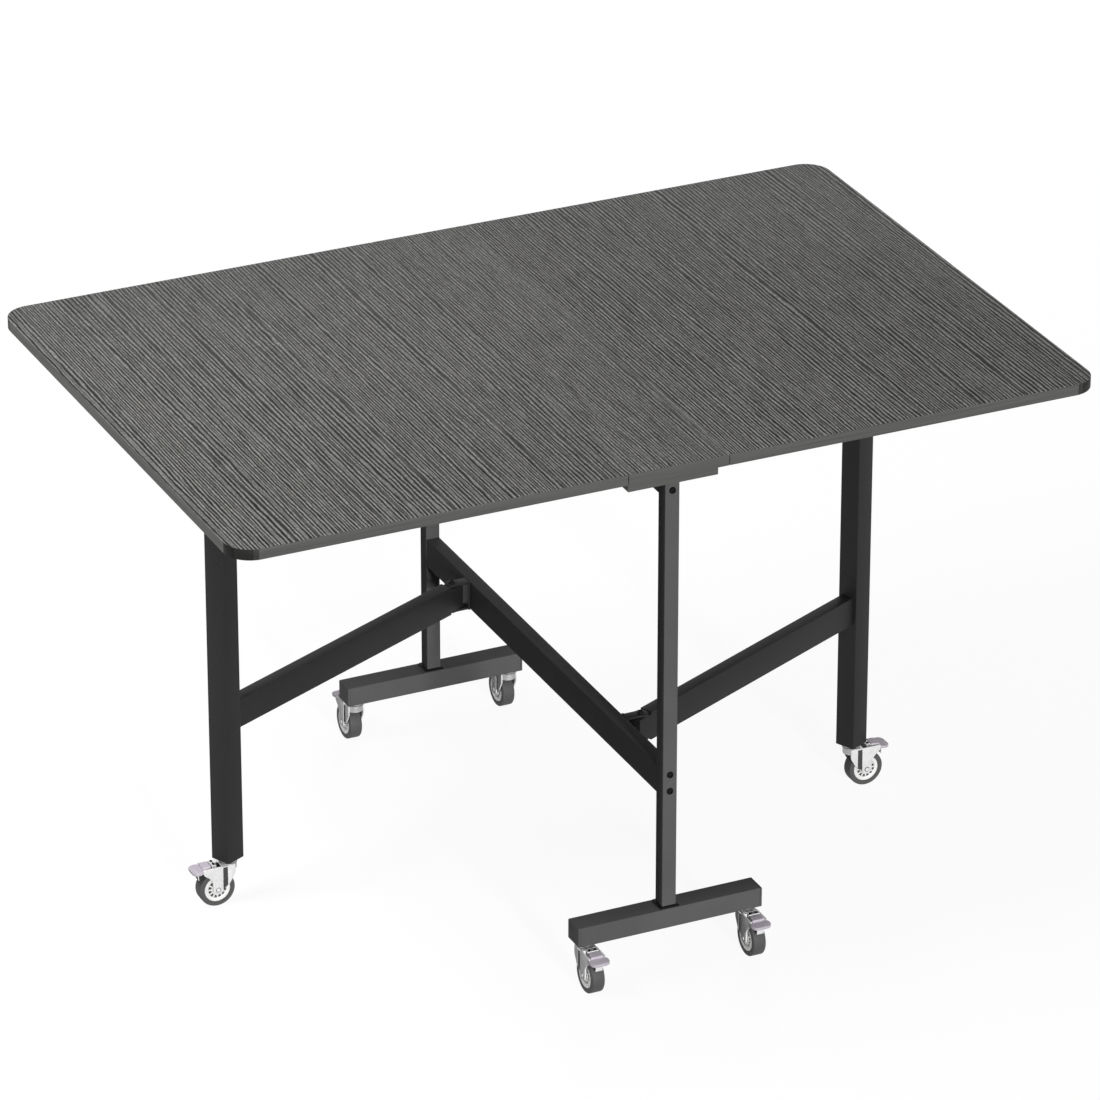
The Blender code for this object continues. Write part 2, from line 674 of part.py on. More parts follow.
def axle_mesh():
    seat = FORK_OUTER + GAP
    end = seat + AXLE_HEAD_HEIGHT
    head = AXLE_RADIUS + AXLE_HEAD_OVERHANG
    lower = [(0, -end), (head, -end), (head, -seat), (AXLE_RADIUS, -seat)]
    upper = [(radius, -height) for radius, height in reversed(lower)]
    return moved(turned(lower + upper, PIN_STEPS), ALONG_Y)


def pedal_mesh():
    """The brake pedal about its pin: an arm between the cheeks, a wider paddle and a tongue below its tip."""
    arm = FORK_INNER - FORK_LIP - PEDAL_SIDE_GAP
    paddle = arm + PEDAL_FLARE
    corner = PEDAL_TIP - PEDAL_CORNER
    side = [(-PEDAL_BACK, arm), (PEDAL_STEP, arm), (PEDAL_STEP, paddle), (corner, paddle), (PEDAL_TIP, arm)]
    outline = [(x, -y) for x, y in side] + list(reversed(side))
    pedal = prism(outline, -PEDAL_BELOW, PEDAL_ABOVE)
    pin = moved(rod(PEDAL_PIN_RADIUS, -FORK_OUTER + GAP, FORK_OUTER - GAP, HOLE_STEPS), ALONG_Y)
    tongue = prism(rectangle(TONGUE_THICKNESS, 2 * TONGUE_HALF_WIDTH), -TONGUE_DEPTH, 0)
    pedal = fused(pedal, pin, moved(tongue, shift(x=TONGUE_FROM + TONGUE_THICKNESS / 2)))
    return moved(pedal, Matrix.Rotation(PEDAL_SLOPE, 4, "Y"))


def caster_places(gate_places):
    """Each caster's name and its frame at rest, with +X the way it trails."""
    places = {}
    for row, y, heading in (("front", -POST_Y, -90), ("rear", POST_Y, 90)):
        for side, x in (("left", -CASTER_X), ("right", CASTER_X)):
            places[f"{row}_{side}"] = shift(x, y) @ Matrix.Rotation(math.radians(heading), 4, "Z")
    for side, heading in (("left", 180), ("right", 0)):
        leg = gate_places[side] @ Vector((ARM_REACH, 0, 0))
        places[f"{side}_gate"] = shift(leg.x, leg.y) @ Matrix.Rotation(math.radians(heading), 4, "Z")
    return places


def add_casters(finishes, gate_places, gate_axes):
    fork, axle, tyre, rim, pedal = fork_mesh(), axle_mesh(), tyre_mesh(), rim_mesh(), pedal_mesh()
    wheel_place = shift(x=TRAIL, z=WHEEL_RADIUS)
    for name, place in caster_places(gate_places).items():
        carrier = gate_axes.get(name.removesuffix("_gate"))
        swivel = add_axis(f"{name}_swivel", place, carrier)
        add_piece(f"{name}_fork", fork, finishes["zinc"], parent=swivel, smooth=True)
        add_piece(f"{name}_axle", axle, finishes["zinc"], wheel_place, swivel, smooth=True)
        add_piece(f"{name}_tyre", tyre, finishes["tyre"], wheel_place, swivel, smooth=True)
        add_piece(f"{name}_rim", rim, finishes["rim"], wheel_place, swivel, smooth=True)
        add_piece(f"{name}_pedal", pedal, finishes["pedal"], shift(x=PEDAL_X, z=PEDAL_Z), swivel)


def main():
    clear_scene()
    finishes = {
        "board": finish("grey_oak_board", (0.115, 0.113, 0.110), 0.55),
        "steel": finish("black_powder_coat", (0.030, 0.030, 0.030), 0.55),
        "bolt": finish("black_bolt", (0.008, 0.008, 0.008), 0.40),
        "cap": finish("black_plastic", (0.030, 0.030, 0.030), 0.60),
        "zinc": finish("zinc_plate", (0.720, 0.730, 0.730), 0.30, 1.0),
        "tyre": finish("grey_rubber", (0.070, 0.070, 0.070), 0.70),
        "rim": finish("pale_nylon", (0.760, 0.760, 0.760), 0.40),
        "pedal": finish("lavender_nylon", (0.420, 0.380, 0.430), 0.50),
    }
    gate_places = gate_places_by_side()
    add_top(finishes)
    add_frame(finishes)
    add_leaves(finishes, gate_places)
    gate_axes = add_gates(finishes, gate_places)
    add_casters(finishes, gate_places, gate_axes)


main()
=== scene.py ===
import math

import bmesh
import bpy
from mathutils import Matrix, Vector


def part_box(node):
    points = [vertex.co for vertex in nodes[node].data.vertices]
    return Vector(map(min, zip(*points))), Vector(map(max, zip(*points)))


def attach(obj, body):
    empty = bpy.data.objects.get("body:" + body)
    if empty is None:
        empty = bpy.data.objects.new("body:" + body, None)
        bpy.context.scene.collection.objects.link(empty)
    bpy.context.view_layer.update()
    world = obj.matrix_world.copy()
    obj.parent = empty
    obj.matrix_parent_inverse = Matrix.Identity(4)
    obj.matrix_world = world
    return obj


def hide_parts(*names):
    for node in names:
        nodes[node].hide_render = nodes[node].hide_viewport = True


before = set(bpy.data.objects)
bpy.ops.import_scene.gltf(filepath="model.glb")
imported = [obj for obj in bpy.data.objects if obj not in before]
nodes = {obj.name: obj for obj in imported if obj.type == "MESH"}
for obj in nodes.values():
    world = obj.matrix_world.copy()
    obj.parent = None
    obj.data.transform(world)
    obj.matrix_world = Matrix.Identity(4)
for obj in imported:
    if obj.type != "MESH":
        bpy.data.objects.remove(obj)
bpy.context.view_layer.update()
print("frame loaded:", len(nodes), "nodes")


# axes and turns that several pieces share

axisX, axisY, axisZ = range(3)
halfTurn = Matrix.Rotation(math.pi, 4, "Z")
upsideDown = Matrix.Rotation(math.pi, 4, "X")
alongX = Matrix(((0, 0, 1, 0), (1, 0, 0, 0), (0, 1, 0, 0), (0, 0, 0, 1)))    # Z to X, X to Y, Y to Z
alongY = Matrix(((1, 0, 0, 0), (0, 0, -1, 0), (0, 1, 0, 0), (0, 0, 0, 1)))   # Z to -Y, Y to Z


def shift(x=0.0, y=0.0, z=0.0):
    return Matrix.Translation((x, y, z))


# small modelling helpers

modelling = {"square": 0.99, "crispAngle": 35, "merge": 1e-7}   # cosine, degrees, metres


def boxForm(low, high):
    form = bmesh.new()
    low, high = Vector(low), Vector(high)
    place = Matrix.Translation((low + high) / 2) @ Matrix.Diagonal((*(high - low), 1))
    bmesh.ops.create_cube(form, size=1, matrix=place)
    form.normal_update()
    return form


def roundEdges(form, edges, offset, segments=2):
    bmesh.ops.bevel(form, geom=list(edges), offset=offset, offset_type="OFFSET", affect="EDGES",
                    segments=segments, profile=0.5, material=-1, clamp_overlap=True)
    form.normal_update()


def edgesAlong(form, axis):
    return [e for e in form.edges
            if abs((e.verts[1].co - e.verts[0].co).normalized()[axis]) > modelling["square"]]


def rimEdges(form, axis, side=0):   # edges round the flat ends that face along an axis, both or one side's
    ends = [f for f in form.faces if abs(f.normal[axis]) > modelling["square"] and f.normal[axis] * side >= 0]
    return {e for f in ends for e in f.edges}


def spunForm(profile, steps=48, closed=False):   # (radius, height) points turned once round Z
    form = bmesh.new()
    points = [form.verts.new((radius, 0, height)) for radius, height in profile]
    pairs = list(zip(points, points[1:])) + ([(points[-1], points[0])] if closed else [])
    lines = [form.edges.new(pair) for pair in pairs]
    bmesh.ops.spin(form, geom=points + lines, cent=(0, 0, 0), axis=(0, 0, 1), angle=math.tau,
                   steps=steps, use_merge=True)
    bmesh.ops.remove_doubles(form, verts=form.verts, dist=modelling["merge"])
    bmesh.ops.recalc_face_normals(form, faces=form.faces)
    return form


def plateForm(corners, low, high, soften=0.0, segments=6):   # corners are (x, y, length cut off to round it)
    form = bmesh.new()
    points = [form.verts.new((x, y, low)) for x, y, cut in corners]
    form.faces.new(points)
    for point, (x, y, cut) in zip(points, corners):
        if cut:
            bmesh.ops.bevel(form, geom=[point], offset=cut, offset_type="OFFSET", affect="VERTICES",
                            segments=segments, profile=0.5, material=-1)
    raised = bmesh.ops.extrude_face_region(form, geom=form.faces[:])
    bmesh.ops.translate(form, verts=[v for v in raised["geom"] if isinstance(v, bmesh.types.BMVert)],
                        vec=(0, 0, high - low))
    bmesh.ops.recalc_face_normals(form, faces=form.faces)
    form.normal_update()
    if soften:
        roundEdges(form, rimEdges(form, axisZ), soften)
    return form


def moved(form, *turns):
    for turn in turns:
        bmesh.ops.transform(form, matrix=turn, verts=form.verts)
    return form


def tinted(form, index):   # index is the finish's place in the piece's list
    for face in form.faces:
        face.material_index = index
    return form


def joined(*forms):
    whole = bmesh.new()
    for form in forms:
        step = bpy.data.meshes.new("step")
        form.to_mesh(step)
        form.free()
        whole.from_mesh(step)
        bpy.data.meshes.remove(step)
    return whole


def setPiece(name, form, finishes, body, stands=()):
    bmesh.ops.recalc_face_normals(form, faces=form.faces)
    mesh = bpy.data.meshes.new(name)
    form.to_mesh(mesh)
    form.free()
    for finish in finishes:
        mesh.materials.append(finish)
    mesh.shade_smooth()
    mesh.set_sharp_from_angle(angle=math.radians(modelling["crispAngle"]))
    piece = bpy.data.objects.new(name, mesh)
    bpy.context.scene.collection.objects.link(piece)
    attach(piece, body)
    if stands:
        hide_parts(*stands)


# small material helpers

noiseStops = (0.3, 0.5, 0.7)   # a noise texture's usual low, middle and high values


def newFinish(name, roughness, metallic=0.0, specular=0.5):
    finish = bpy.data.materials.new(name)
    finish.use_nodes = True
    shader = finish.node_tree.nodes["Principled BSDF"]
    shader.inputs["Roughness"].default_value = roughness
    shader.inputs["Metallic"].default_value = metallic
    shader.inputs["Specular IOR Level"].default_value = specular
    return finish, finish.node_tree, shader


def addNode(tree, kind, inputs=None, **settings):
    node = tree.nodes.new(kind)
    for key, value in settings.items():
        setattr(node, key, value)
    for key, value in (inputs or {}).items():
        if isinstance(value, bpy.types.NodeSocket):
            tree.links.new(value, node.inputs[key])
        else:
            node.inputs[key].default_value = value
    return node


def reckoned(tree, operation, first, second=0.0):
    return addNode(tree, "ShaderNodeMath", {0: first, 1: second}, operation=operation).outputs[0]


def noiseAt(tree, scale, detail=2.0, roughness=0.5, place=(0, 0, 0), start=None):
    where = start or addNode(tree, "ShaderNodeTexCoord").outputs["Object"]
    mapping = addNode(tree, "ShaderNodeMapping", {"Vector": where, "Location": place, "Scale": scale})
    noise = addNode(tree, "ShaderNodeTexNoise", {"Vector": mapping.outputs["Vector"], "Scale": 1.0,
                                                 "Detail": detail, "Roughness": roughness})
    return noise.outputs["Fac"]


def rampOf(tree, factor, stops):   # stops are (place, grey or colour)
    ramp = addNode(tree, "ShaderNodeValToRGB", {"Fac": factor})
    while len(ramp.color_ramp.elements) < len(stops):
        ramp.color_ramp.elements.new(0.5)
    for element, (place, tone) in zip(ramp.color_ramp.elements, stops):
        element.position = place
        element.color = (*(tone if isinstance(tone, tuple) else (tone, tone, tone)), 1)
    return ramp.outputs["Color"]


def multiplied(tree, first, second):   # a colour Mix node: 0 is its share, 6 and 7 its colours, 2 its result
    colours = {0: 1.0, 6: first, 7: second}
    return addNode(tree, "ShaderNodeMix", colours, data_type="RGBA", blend_type="MULTIPLY").outputs[2]


def ranged(tree, value, low, high, start=0.0, end=1.0):
    span = addNode(tree, "ShaderNodeMapRange", {"Value": value, "From Min": start, "From Max": end,
                                                "To Min": low, "To Max": high})
    return span.outputs["Result"]


def spread(tree, noise, low, high):   # a noise value stretched to a range
    return ranged(tree, noise, low, high, noiseStops[0], noiseStops[-1])


def bumped(tree, shader, height, strength, distance):
    bump = addNode(tree, "ShaderNodeBump", {"Height": height, "Strength": strength, "Distance": distance})
    tree.links.new(bump.outputs["Normal"], shader.inputs["Normal"])


# finishes

woodLook = {   # line is the distance between grain lines, closer sets a second set among them
    "left": {"line": 0.0060, "closer": 1.40, "contrast": 1.08, "tone": 1.26, "from": 0.0},
    "centre": {"line": 0.0047, "closer": 1.27, "contrast": 0.76, "tone": 1.29, "from": 2.3},
    "right": {"line": 0.0058, "closer": 1.36, "contrast": 1.12, "tone": 1.20, "from": 5.9},
    "bends": (   # scale across, scale along, lines of drift
        (22.0, 0.7, 1.3), (50.0, 4.0, 0.50), (180.0, 36.0, 0.26)),
    "zones": {"scale": (17.0, 2.0, 1.0), "place": (3.1, 0.4, 0)},   # where the coarse or the close lines rule
    "strong": 0.46, "weak": 0.14,
    "streaks": {"scale": (230.0, 18.0, 1.0), "roughness": 0.6, "place": (1.7, 5.2, 0)},
    "streakLevels": (0.36, 0.62),
    "tones": (0.008, 0.020, 0.077, 0.130, 0.165), "levels": (0.05, 0.32, 0.50, 0.68, 0.95),
    "pores": {"scale": (640, 170, 30), "roughness": 0.7}, "poreTones": (0.50, 1.0, 1.50),
    "roughness": 0.6, "sheen": (0.58, 0.46), "specular": 0.10, "bump": 0.10, "bumpDepth": 0.0003,
    "warmth": 0.96,   # share of blue
}


def woodGrey(tone):   # a faintly warm grey
    return tone, tone, tone * woodLook["warmth"]


def woodFinish(name):
    return newFinish(name, woodLook["roughness"], specular=woodLook["specular"])


def grainLevel(tree, look, here):   # bent parallel lines in two widths, with fine streaks among them
    across = addNode(tree, "ShaderNodeSeparateXYZ", {0: here}).outputs["X"]
    turns = reckoned(tree, "MULTIPLY", across, 1 / look["line"])
    for acrossScale, alongScale, lines in woodLook["bends"]:
        bend = noiseAt(tree, (acrossScale, alongScale, 1.0), start=here, place=(look["from"], 0, 0))
        bend = reckoned(tree, "MULTIPLY", reckoned(tree, "SUBTRACT", bend, 0.5), lines * 2)
        turns = reckoned(tree, "ADD", turns, bend)
    coarse = reckoned(tree, "SINE", reckoned(tree, "MULTIPLY", turns, math.tau))
    close = reckoned(tree, "SINE", reckoned(tree, "MULTIPLY", turns, math.tau * look["closer"]))
    zone = spread(tree, noiseAt(tree, start=here, **woodLook["zones"]), 0.0, 1.0)
    strong, weak = woodLook["strong"] * look["contrast"], woodLook["weak"] * look["contrast"]
    coarse = reckoned(tree, "MULTIPLY", coarse, ranged(tree, zone, weak, strong))
    close = reckoned(tree, "MULTIPLY", close, ranged(tree, zone, strong, weak))
    streaks = spread(tree, noiseAt(tree, start=here, **woodLook["streaks"]), *woodLook["streakLevels"])
    return reckoned(tree, "ADD", reckoned(tree, "ADD", coarse, close), streaks)


def woodTopFinish(board):   # printed oak-look face, its lines along the depth of the table
    look = woodLook[board]
    finish, tree, shader = woodFinish(f"grey_oak_face_{board}")
    here = addNode(tree, "ShaderNodeTexCoord").outputs["Object"]
    level = grainLevel(tree, look, here)
    tones = [woodGrey(tone * look["tone"]) for tone in woodLook["tones"]]
    bands = rampOf(tree, level, list(zip(woodLook["levels"], tones)))
    pores = noiseAt(tree, start=here, **woodLook["pores"])
    fibres = rampOf(tree, pores, list(zip(noiseStops, woodLook["poreTones"])))
    tree.links.new(multiplied(tree, bands, fibres), shader.inputs["Base Color"])
    tree.links.new(spread(tree, pores, *woodLook["sheen"]), shader.inputs["Roughness"])
    bumped(tree, shader, level, woodLook["bump"], woodLook["bumpDepth"])
    return finish


edgeLook = {
    "tone": 0.107, "underTone": 0.085, "cornerTone": 0.019,
    "cornerShadeShare": 0.5, "cornerLightShare": 2.2,   # shares of the corner band's tone: a darker step of painted shade where the corner turns to the side edge, a lighter step of painted light where it turns to the front or back edge
    "edgeGrain": (6, 6, 420), "underGrain": (260, 3, 260), "cornerGrain": (300, 300, 12),
    "streaks": {"detail": 3.0, "roughness": 0.6}, "shares": ((0.3, 0.82), (0.5, 1.0), (0.72, 1.16)),
    "sheen": (0.55, 0.46), "bump": 0.06, "bumpDepth": 0.0003,
}


def woodEdgeFinish(name, tone, grain):   # plain band with faint streaks along its length
    finish, tree, shader = woodFinish(name)
    streaks = noiseAt(tree, grain, **edgeLook["streaks"])
    colour = rampOf(tree, streaks, [(place, woodGrey(tone * share)) for place, share in edgeLook["shares"]])
    tree.links.new(colour, shader.inputs["Base Color"])
    tree.links.new(spread(tree, streaks, *edgeLook["sheen"]), shader.inputs["Roughness"])
    bumped(tree, shader, streaks, edgeLook["bump"], edgeLook["bumpDepth"])
    return finish


coatLook = {"grainRoughness": 0.6, "patchScale": 9, "patchTones": ((0.3, 0.92), (0.7, 1.08)), "sheen": 0.06,
            "bumpDepth": 0.0002}


# powder coat
def coatFinish(name, tone, roughness, grainSize=0.0006, bump=0.12, speckle=0.22, specular=0.02):
    finish, tree, shader = newFinish(name, roughness, specular=specular)
    grain = noiseAt(tree, (1 / grainSize,) * 3, roughness=coatLook["grainRoughness"])
    patch = noiseAt(tree, (coatLook["patchScale"],) * 3)
    colour = rampOf(tree, grain, list(zip(noiseStops, (tone * (1 - speckle), tone, tone * (1 + speckle)))))
    shade = rampOf(tree, patch, coatLook["patchTones"])
    tree.links.new(multiplied(tree, colour, shade), shader.inputs["Base Color"])
    sheen = spread(tree, grain, roughness - coatLook["sheen"], roughness + coatLook["sheen"])
    tree.links.new(sheen, shader.inputs["Roughness"])
    bumped(tree, shader, grain, bump, coatLook["bumpDepth"])
    return finish


plateLook = {
    "cloud": {"scale": (160, 160, 160), "detail": 3.0, "roughness": 0.6},
    "cloudShares": ((0.3, 0.93), (0.55, 1.0), (0.72, 1.05)),
    "drawn": {"scale": (2600, 2600, 180)}, "drawnTones": ((0.3, 0.95), (0.7, 1.04)),
    "smoother": 0.07, "rougher": 0.08, "bump": 0.05, "bumpDepth": 0.0001,
}


def plateFinish(name, tone, roughness, metallic, specular=0.5):   # zinc plate, faintly clouded and drawn; at near-black it is painted shade
    finish, tree, shader = newFinish(name, roughness, metallic, specular)
    cloud = noiseAt(tree, **plateLook["cloud"])
    drawn = noiseAt(tree, **plateLook["drawn"])
    colour = rampOf(tree, cloud, [(place, tone * share) for place, share in plateLook["cloudShares"]])
    lines = rampOf(tree, drawn, plateLook["drawnTones"])
    tree.links.new(multiplied(tree, colour, lines), shader.inputs["Base Color"])
    sheen = spread(tree, cloud, roughness - plateLook["smoother"], roughness + plateLook["rougher"])
    tree.links.new(sheen, shader.inputs["Roughness"])
    bumped(tree, shader, drawn, plateLook["bump"], plateLook["bumpDepth"])
    return finish


mouldLook = {
    "cloud": {"detail": 3.0, "roughness": 0.6}, "cloudSize": 0.004,
    "fine": {"scale": (1500, 1500, 1500), "detail": 1.0}, "sheen": 0.06, "bump": 0.08, "bumpDepth": 0.00012,
}


def mouldedFinish(name, colour, roughness, mottle=0.08, metallic=0.0):   # moulded nylon or rubber, also the near-black painted shade in the rim's pockets
    finish, tree, shader = newFinish(name, roughness, metallic)
    cloud = noiseAt(tree, (1 / mouldLook["cloudSize"],) * 3, **mouldLook["cloud"])
    fine = noiseAt(tree, **mouldLook["fine"])
    shades = [tuple(tone * share for tone in colour) for share in (1 - mottle, 1.0, 1 + mottle)]
    tree.links.new(rampOf(tree, cloud, list(zip(noiseStops, shades))), shader.inputs["Base Color"])
    sheen = spread(tree, fine, roughness - mouldLook["sheen"], roughness + mouldLook["sheen"])
    tree.links.new(sheen, shader.inputs["Roughness"])
    bumped(tree, shader, fine, mouldLook["bump"], mouldLook["bumpDepth"])
    return finish


woodTops = {board: woodTopFinish(board) for board in ("left", "centre", "right")}
woodEdge = woodEdgeFinish("grey_oak_edge_band", edgeLook["tone"], edgeLook["edgeGrain"])
woodUnder = woodEdgeFinish("grey_backing_sheet", edgeLook["underTone"], edgeLook["underGrain"])
cornerTone, cornerGrain = edgeLook["cornerTone"], edgeLook["cornerGrain"]
cornerBand = woodEdgeFinish("black_corner_band", cornerTone, cornerGrain)
# lighter and darker copies of the corner band: painted light towards the front and back edges, painted shade
# towards the side edges
cornerPaintedLight = woodEdgeFinish("corner_band_painted_light", cornerTone * edgeLook["cornerLightShare"], cornerGrain)
cornerPaintedShade = woodEdgeFinish("corner_band_painted_shade", cornerTone * edgeLook["cornerShadeShare"], cornerGrain)
battenEdge = woodEdgeFinish("grey_batten_edge_band", edgeLook["tone"], edgeLook["edgeGrain"])
greyCoat = coatFinish("graphite_frame_coat", tone=0.108, roughness=0.62)
blackCoat = coatFinish("black_leg_coat", tone=0.0138, roughness=0.55, grainSize=0.0015, bump=0.25,
                       speckle=0.45, specular=0.20)
blackBolt = coatFinish("blackened_steel", tone=0.010, roughness=0.40, grainSize=0.0008, bump=0.06,
                       specular=0.06)
blackPlastic = coatFinish("black_cap_plastic", tone=0.110, roughness=0.58, grainSize=0.0009, bump=0.10,
                          specular=0.05)
hingeSteel = plateFinish("hinge_zinc", tone=0.60, roughness=0.38, metallic=0.9)
zincPlate = plateFinish("zinc_pressing", tone=0.80, roughness=0.48, metallic=0.0, specular=0.15)
brightZinc = plateFinish("bright_zinc", tone=0.80, roughness=0.24, metallic=0.85)
cupZinc = plateFinish("polished_cup_zinc", tone=0.42, roughness=0.42, metallic=0.85)
# near-black zinc is painted shade: on the floor of each cheek groove and in the thin ring round each axle
# head
paintedShadeZinc = plateFinish("painted_shade_zinc", tone=0.030, roughness=0.45, metallic=0.10)
tyreRubber = mouldedFinish("grey_tyre_rubber", (0.062, 0.062, 0.062), roughness=0.68)
paleNylon = mouldedFinish("silvered_rim_nylon", (0.78, 0.78, 0.77), roughness=0.45, mottle=0.03,
                          metallic=0.35)
# painted shade on the floor of the rim's pockets between the spokes
paintedPocketShade = mouldedFinish("rim_pocket_painted_shade", (0.028, 0.028, 0.028), roughness=0.70)
lavenderNylon = mouldedFinish("lavender_pedal_nylon", (0.545, 0.503, 0.564), roughness=0.55, mottle=0.06)
print("finishes ready")


# top boards

boards = {
    "cornerRadius": 0.036, "cornerSegments": 16, "edgeRounding": 0.0004, "seam": 0.001, "cadSeam": 0.002,
    "flat": 0.7,   # faces that lean up or down more than this aren't edge band
    "bands": ((1, 34, cornerPaintedShade), (34, 72, cornerBand), (72, 84, cornerPaintedLight)),   # degrees round a corner: painted shade near the side edge, then the black band, then painted light near the front or back edge
}
boardEdges = [woodEdge, woodUnder, cornerBand, cornerPaintedLight, cornerPaintedShade]   # after the board's own top


# a face's finish by the way it faces; the corner band's lighter and darker steps are painted light and
# painted shade
def boardFinishIndex(normal):
    if normal.z > boards["flat"]:
        return 0
    bend = math.degrees(math.atan2(abs(normal.y), abs(normal.x)))
    finish = next((band for start, end, band in boards["bands"] if start <= bend < end), woodEdge)
    return 1 + boardEdges.index(woodUnder if normal.z < -boards["flat"] else finish)


def boardForm(node, outerSide=0, seams=()):
    low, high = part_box(node)
    for side in seams:   # draw the boards up to a close seam
        corner = low if side < 0 else high
        corner.x += side * (boards["cadSeam"] - boards["seam"]) / 2
    form = boxForm(low, high)
    if outerSide:
        outer = [e for e in edgesAlong(form, axisZ) if e.verts[0].co.x * outerSide > abs(low.x + high.x) / 2]
        roundEdges(form, outer, boards["cornerRadius"], boards["cornerSegments"])
    roundEdges(form, rimEdges(form, axisZ), boards["edgeRounding"])
    for face in form.faces:
        face.material_index = boardFinishIndex(face.normal)
    return form


setPiece("centre_board", boardForm("centre_panel", 0, (-1, 1)), [woodTops["centre"], *boardEdges], "frame",
         ["centre_panel"])
for side, sign in (("left", -1), ("right", 1)):
    setPiece(f"{side}_leaf_board", boardForm(f"{side}_leaf", sign, (-sign,)), [woodTops[side], *boardEdges],
             f"{side}_leaf", [f"{side}_leaf"])
setPiece("batten_board", boardForm("centre_batten"), [woodUnder, battenEdge, woodUnder], "frame",
         ["centre_batten"])
print("boards done")


# centre frame: posts, feet, rail and stretcher

steelBar = {"rounding": 0.0010, "segments": 4, "endRounding": 0.0004}
tubes = {   # node and the axis it runs along
    "front_post_tube": ("front_post", axisZ), "front_foot_tube": ("front_foot", axisX),
    "rear_post_tube": ("rear_post", axisZ), "rear_foot_tube": ("rear_foot", axisX),
    "rail_tube": ("top_rail", axisY), "stretcher_tube": ("stretcher", axisY),
}


def tubeForm(low, high, axis, rounding):
    form = boxForm(low, high)
    roundEdges(form, edgesAlong(form, axis), rounding, steelBar["segments"])
    roundEdges(form, rimEdges(form, axis), steelBar["endRounding"], 1)
    return form


for name, (node, axis) in tubes.items():
    tube = tubeForm(*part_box(node), axis, steelBar["rounding"])
    setPiece(name, tube, [greyCoat], "frame", [node])

weld = {"reach": 0.0040, "height": 0.0020, "corner": 0.0030, "cornerSegments": 4, "slope": 0.0014,
        "slopeSegments": 3}
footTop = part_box("front_foot")[1].z
for row in ("front", "rear"):   # bead round the foot of each post: a real weld, its near-black steel is painted contact shade
    low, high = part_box(f"{row}_post")
    reach = weld["reach"]
    bead = boxForm((low.x - reach, low.y - reach, footTop),
                   (high.x + reach, high.y + reach, footTop + weld["height"]))
    roundEdges(bead, edgesAlong(bead, axisZ), weld["corner"], weld["cornerSegments"])
    roundEdges(bead, rimEdges(bead, axisZ, 1), weld["slope"], weld["slopeSegments"])
    setPiece(f"{row}_post_weld_painted_shade", bead, [blackBolt], "frame")

footCap = {"lip": 0.0025, "rounding": 0.0009, "segments": 3}
for row in ("front", "rear"):
    for side, sign in (("left", -1), ("right", 1)):
        low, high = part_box(f"{row}_foot_{side}_cap")
        tip = low.x if sign < 0 else high.x
        inner = tip - sign * footCap["lip"]
        cap = boxForm((min(tip, inner), low.y, low.z), (max(tip, inner), high.y, high.z))
        roundEdges(cap, edgesAlong(cap, axisX), steelBar["rounding"], steelBar["segments"])
        roundEdges(cap, rimEdges(cap, axisX, sign), footCap["rounding"], footCap["segments"])
        setPiece(f"{row}_foot_{side}_end", cap, [blackPlastic], "frame",
                 [f"{row}_foot_{side}_cap"])

buttonShape = {   # shares of a head's radius and height, and of its socket's radius
    "floor": 0.35, "lip": 0.97, "flare": 1.25, "crown": ((0.80, 0.80), (0.95, 0.48), (1.0, 0.15))}


def buttonHead(head, height, socket, steps=32):
    floor, lip = height * buttonShape["floor"], height * buttonShape["lip"]
    hole = [(0, floor), (socket, floor), (socket, lip), (socket * buttonShape["flare"], height)]
    crown = [(head * out, height * up) for out, up in buttonShape["crown"]]
    return spunForm([*hole, *crown, (head, 0), (0, 0)], steps)


postBolt = {"head": 0.0047, "height": 0.0031, "socket": 0.0022, "heights": (0.6864, 0.28375, 0.26025)}
postFace = shift(y=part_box("front_post")[0].y)
for row, face in (("front", postFace), ("rear", halfTurn @ postFace)):
    for number, height in enumerate(postBolt["heights"], 1):
        bolt = buttonHead(postBolt["head"], postBolt["height"], postBolt["socket"])
        moved(bolt, alongY, face @ shift(z=height))
        setPiece(f"{row}_post_bolt_{number}", bolt, [blackBolt], "frame")
print("centre frame done")


# gate legs, drawn about their pivot with the arm along X

gate = {"pivotX": 0.033, "pivotY": 0.225, "openAngle": 64.6, "reach": 0.457}
leg = {"size": 0.030, "rounding": 0.0012, "low": 0.0643, "high": 0.6961}
arm = {"width": 0.019, "tail": 0.0127, "shoulder": 0.0115, "plateGap": 0.0004, "legGap": 0.0003}
bracket = {
    "plate": 0.003, "neck": 0.0075, "neckEnd": 0.004, "eye": 0.0095, "eyeStart": -0.002, "eyeFlat": 0.72,
    "neckRound": 0.004, "eyeRound": 0.006, "web": 0.0094, "gap": 0.0003, "soften": 0.0004,
}
pivotBolt = {"head": 0.0043, "height": 0.0027, "socket": 0.0021, "nut": 0.0050, "nutHeight": 0.0022,
             "nutRounding": 0.0004, "gap": 0.0003}
gateTurn = Matrix.Rotation(math.radians(-90 - gate["openAngle"]), 4, "Z")
leftPivot = shift(x=-gate["pivotX"], y=gate["pivotY"])
gatePivots = {"left": leftPivot, "right": halfTurn @ leftPivot}
stretcherLow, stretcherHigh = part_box("stretcher")


def armForm():
    half = arm["width"] / 2
    end = gate["reach"] - leg["size"] / 2 - arm["legGap"]
    low, high, lift = stretcherLow.z, stretcherHigh.z, bracket["plate"] + arm["plateGap"]
    tail, start = -arm["tail"], arm["shoulder"]
    outline = [(tail, low + lift, 0), (start, low + lift, 0), (start, low, 0), (end, low, 0), (end, high, 0),
               (start, high, 0), (start, high - lift, 0), (tail, high - lift, 0)]
    return moved(plateForm(outline, -half, half, steelBar["rounding"]), alongY)


def legForm():
    half = leg["size"] / 2
    low, high = (gate["reach"] - half, -half, leg["low"]), (gate["reach"] + half, half, leg["high"])
    return tubeForm(low, high, axisZ, leg["rounding"])


